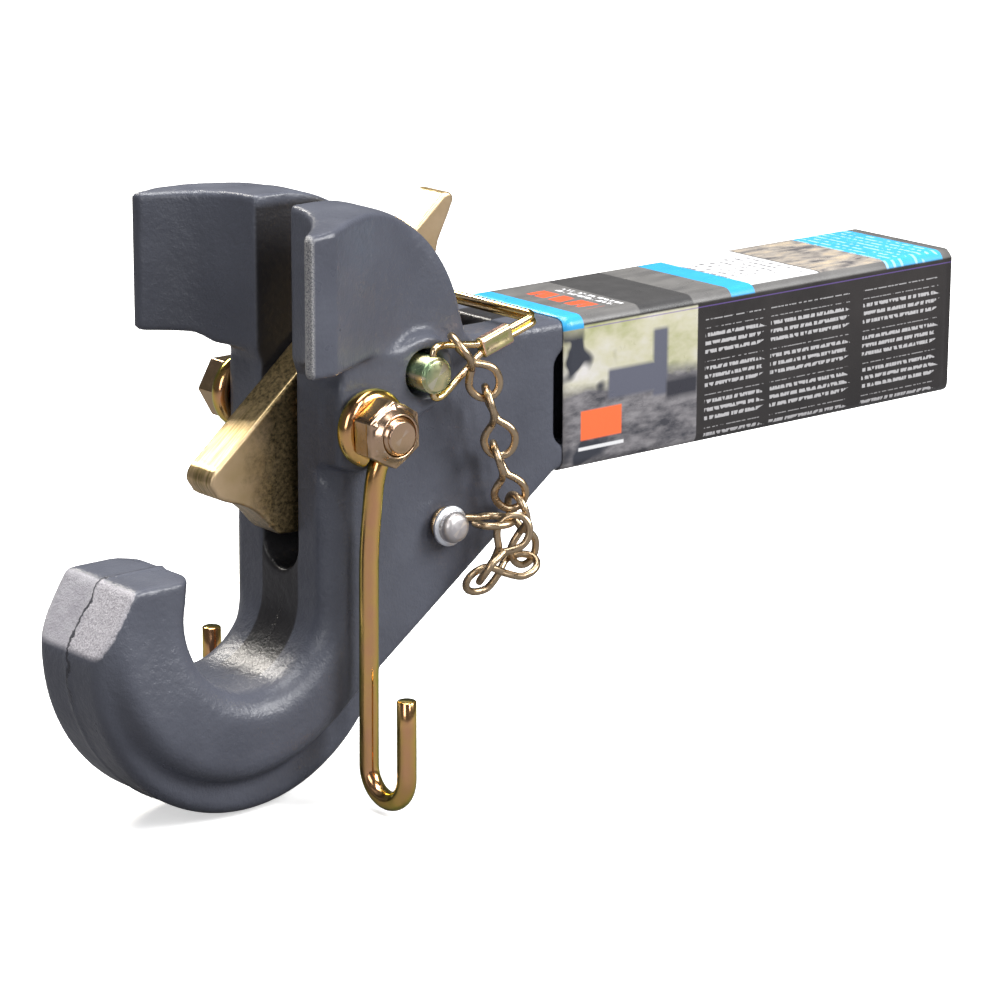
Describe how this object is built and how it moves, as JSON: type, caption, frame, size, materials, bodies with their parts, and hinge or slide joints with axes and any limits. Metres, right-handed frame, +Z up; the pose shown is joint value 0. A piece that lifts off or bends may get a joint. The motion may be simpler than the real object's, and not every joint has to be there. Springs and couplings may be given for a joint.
{
  "type": "receiver-mount pintle hook",
  "caption": "Cast pintle hook on a square receiver shank, with a swinging latch locked by a tethered pin, two safety-chain hangers and a card sleeve.",
  "frame": {"origin": "centre of the hitch-pin bore through the receiver shank", "axes": "+X along the shank towards the vehicle, +Y along the hitch-pin bore, +Z up; the hook's mouth faces -X"},
  "size_m": [0.364, 0.1092, 0.1918],
  "materials": {
    "casting_paint": "semi-gloss paint over a sand casting",
    "latch_zinc": "satin yellow zinc",
    "bolt_zinc": "bright yellow zinc with a coppery cast",
    "yellow_zinc": "bright iridescent yellow zinc",
    "pin_zinc": "bright yellow-green zinc",
    "wire_zinc": "bright yellow zinc",
    "chain_bronze": "dull yellow zinc",
    "rivet_steel": "plain steel",
    "washer_zinc": "bright white zinc",
    "printed_card": "gloss-printed card"
  },
  "bodies": {
    "hook_body": {"hook_casting": "casting_paint", "pivot_bolt": "bolt_zinc", "pivot_nut": "bolt_zinc", "chain_link_1": "chain_bronze", "chain_link_2": "chain_bronze", "chain_link_3": "chain_bronze", "chain_link_4": "chain_bronze", "chain_link_5": "chain_bronze", "chain_link_6": "chain_bronze", "chain_end_link": "chain_bronze", "tether_rivet": "rivet_steel", "tether_washer": "washer_zinc"},
    "latch_body": {"latch": "latch_zinc"},
    "lock_pin_body": {"lock_pin": "pin_zinc"},
    "bail_body": {"pin_bail": "wire_zinc", "bail_ferrule": "wire_zinc"},
    "near_hanger_body": {"chain_hanger_near": "yellow_zinc"},
    "far_hanger_body": {"chain_hanger_far": "yellow_zinc"},
    "sleeve_body": {"card_sleeve": "printed_card"}
  },
  "joints": [
    {"name": "lock_pin_pull", "type": "slide", "parent": "hook_body", "child": "lock_pin_body", "axis": [0, -1, 0], "range_m": [0, 0.1], "deforming": ["chain_link_1", "chain_link_2", "chain_link_3", "chain_link_4", "chain_link_5", "chain_link_6", "chain_end_link", "pin_bail"]},
    {"name": "bail_swing", "type": "hinge", "parent": "lock_pin_body", "child": "bail_body", "pos_m": [-0.1824, -0.0348, 0.0187], "axis": [0, 0, -1], "range_deg": [0, 60]},
    {"name": "latch_swing", "type": "hinge", "parent": "hook_body", "child": "latch_body", "pos_m": [-0.2071, 0, 0.0046], "axis": [0, 1, 0], "range_deg": [0, 28]},
    {"name": "hanger_near_swing", "type": "hinge", "parent": "hook_body", "child": "near_hanger_body", "pos_m": [-0.2071, -0.0351, 0.0046], "axis": [0, 1, 0], "range_deg": [-22, 75]},
    {"name": "hanger_far_swing", "type": "hinge", "parent": "hook_body", "child": "far_hanger_body", "pos_m": [-0.2071, 0.0316, 0.0046], "axis": [0, 1, 0], "range_deg": [-58, 75]},
    {"name": "sleeve_slide", "type": "slide", "parent": "hook_body", "child": "sleeve_body", "axis": [1, 0, 0], "range_m": [0, 0.2]}
  ],
  "couplings": [
    {"joint": "latch_swing", "follows": "lock_pin_pull", "rad_per_m": 4.88},
    {"joint": "bail_swing", "follows": "lock_pin_pull", "rad_per_m": 10.47}
  ]
}
